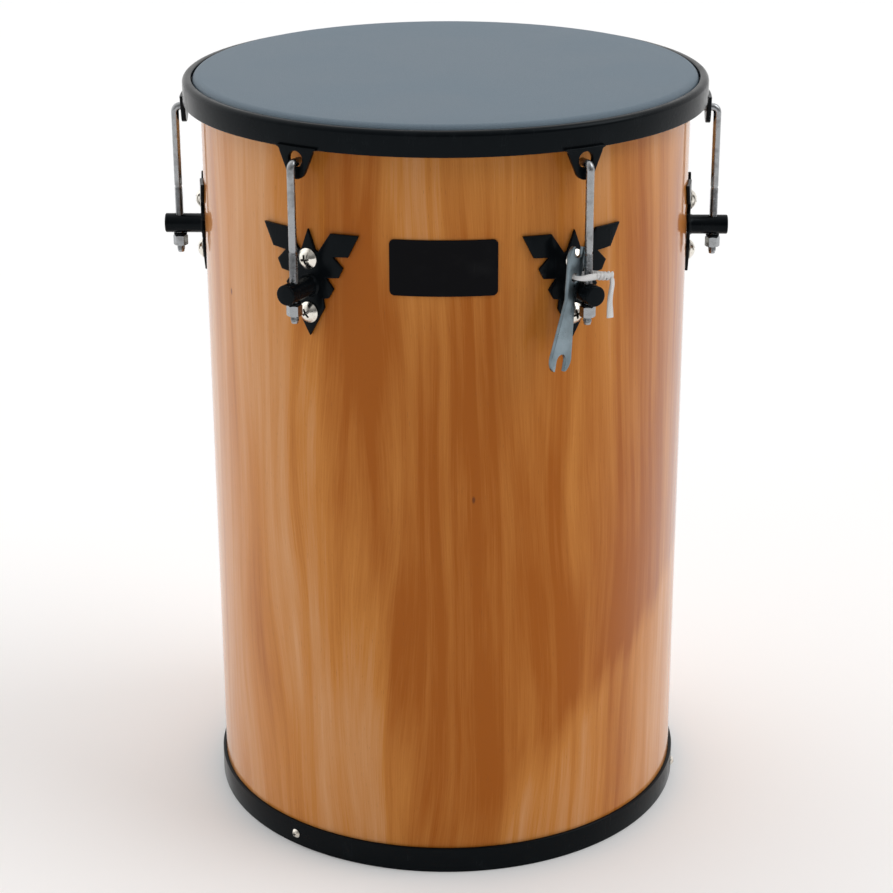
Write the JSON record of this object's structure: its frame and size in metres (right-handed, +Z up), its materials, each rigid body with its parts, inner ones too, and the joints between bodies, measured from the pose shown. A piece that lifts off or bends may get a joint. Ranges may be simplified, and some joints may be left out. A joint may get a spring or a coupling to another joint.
{
  "type": "rebolo drum",
  "caption": "Straight wooden hand drum, open below, with a black head under a flanged steel hoop pulled down by hook rods through winged lugs; a flat tuning key hangs from one rod on a cord.",
  "frame": {"origin": "centre of the bottom ring's underside", "axes": "+Z up along the shell's axis, front (badge) towards -Y, tuning key to the right of the badge towards +X"},
  "size_m": [0.352, 0.3243, 0.4745],
  "materials": {
    "lacquered_wood": "gloss lacquer over orange-brown veneer, grain upright",
    "black_paint": "gloss black",
    "black_film": "matte, finely textured",
    "aluminium": "plain",
    "zinc_plating": "bright zinc",
    "nickel_plating": "warm nickel",
    "badge_black": "gloss black, bare",
    "cotton": "white twisted cotton"
  },
  "bodies": {
    "drum": {"shell": "lacquered_wood", "bottom_ring": "black_paint", "bottom_ring_screw_1": "nickel_plating", "bottom_ring_screw_2": "nickel_plating", "bottom_ring_screw_3": "nickel_plating", "lug_1": "black_paint", "lug_2": "black_paint", "lug_3": "black_paint", "lug_4": "black_paint", "lug_5": "black_paint", "lug_6": "black_paint", "rod_washer_1": "black_paint", "rod_washer_2": "black_paint", "rod_washer_3": "black_paint", "rod_washer_4": "black_paint", "rod_washer_5": "black_paint", "rod_washer_6": "black_paint", "lug_screw_1": "nickel_plating", "lug_screw_2": "nickel_plating", "lug_screw_3": "nickel_plating", "lug_screw_4": "nickel_plating", "lug_screw_5": "nickel_plating", "lug_screw_6": "nickel_plating", "lug_screw_7": "nickel_plating", "lug_screw_8": "nickel_plating", "lug_screw_9": "nickel_plating", "lug_screw_10": "nickel_plating", "lug_screw_11": "nickel_plating", "lug_screw_12": "nickel_plating", "lug_screw_nut_1": "zinc_plating", "lug_screw_nut_2": "zinc_plating", "lug_screw_nut_3": "zinc_plating", "lug_screw_nut_4": "zinc_plating", "lug_screw_nut_5": "zinc_plating", "lug_screw_nut_6": "zinc_plating", "lug_screw_nut_7": "zinc_plating", "lug_screw_nut_8": "zinc_plating", "lug_screw_nut_9": "zinc_plating", "lug_screw_nut_10": "zinc_plating", "lug_screw_nut_11": "zinc_plating", "lug_screw_nut_12": "zinc_plating", "badge": "badge_black", "key_cord": "cotton"},
    "hoop": {"counterhoop": "black_paint", "head_skin": "black_film", "flesh_hoop": "aluminium", "tension_rod_1": "zinc_plating", "tension_rod_2": "zinc_plating", "tension_rod_3": "zinc_plating", "tension_rod_4": "zinc_plating", "tension_rod_5": "zinc_plating", "tension_rod_6": "zinc_plating"},
    "nut_1": {"tension_nut_1": "zinc_plating"},
    "nut_2": {"tension_nut_2": "zinc_plating"},
    "nut_3": {"tension_nut_3": "zinc_plating"},
    "nut_4": {"tension_nut_4": "zinc_plating"},
    "nut_5": {"tension_nut_5": "zinc_plating"},
    "nut_6": {"tension_nut_6": "zinc_plating"},
    "key": {"tuning_key": "zinc_plating"}
  },
  "joints": [
    {"name": "hoop_travel", "type": "slide", "parent": "drum", "child": "hoop", "axis": [0, 0, 1], "range_m": [0, 0.004]},
    {"name": "nut_1_spin", "type": "hinge", "parent": "drum", "child": "nut_1", "pos_m": [0.0835, -0.14463, 0.365], "axis": [0, 0, -1], "range_deg": [0, 1801]},
    {"name": "nut_2_spin", "type": "hinge", "parent": "drum", "child": "nut_2", "pos_m": [0.167, 0, 0.365], "axis": [0, 0, -1], "range_deg": [0, 1801]},
    {"name": "nut_3_spin", "type": "hinge", "parent": "drum", "child": "nut_3", "pos_m": [0.0835, 0.14463, 0.365], "axis": [0, 0, -1], "range_deg": [0, 1801]},
    {"name": "nut_4_spin", "type": "hinge", "parent": "drum", "child": "nut_4", "pos_m": [-0.0835, 0.14463, 0.365], "axis": [0, 0, -1], "range_deg": [0, 1801]},
    {"name": "nut_5_spin", "type": "hinge", "parent": "drum", "child": "nut_5", "pos_m": [-0.167, 0, 0.365], "axis": [0, 0, -1], "range_deg": [0, 1801]},
    {"name": "nut_6_spin", "type": "hinge", "parent": "drum", "child": "nut_6", "pos_m": [-0.0835, -0.14463, 0.365], "axis": [0, 0, -1], "range_deg": [0, 1801]},
    {"name": "key_swing", "type": "hinge", "parent": "drum", "child": "key", "pos_m": [0.07498, -0.14827, 0.3863], "axis": [-0.7547, 0.6561, 0], "range_deg": [0, 12]}
  ],
  "couplings": [
    {"joint": "nut_1_spin", "follows": "hoop_travel", "rad_per_m": 7854},
    {"joint": "nut_2_spin", "follows": "hoop_travel", "rad_per_m": 7854},
    {"joint": "nut_3_spin", "follows": "hoop_travel", "rad_per_m": 7854},
    {"joint": "nut_4_spin", "follows": "hoop_travel", "rad_per_m": 7854},
    {"joint": "nut_5_spin", "follows": "hoop_travel", "rad_per_m": 7854},
    {"joint": "nut_6_spin", "follows": "hoop_travel", "rad_per_m": 7854}
  ]
}
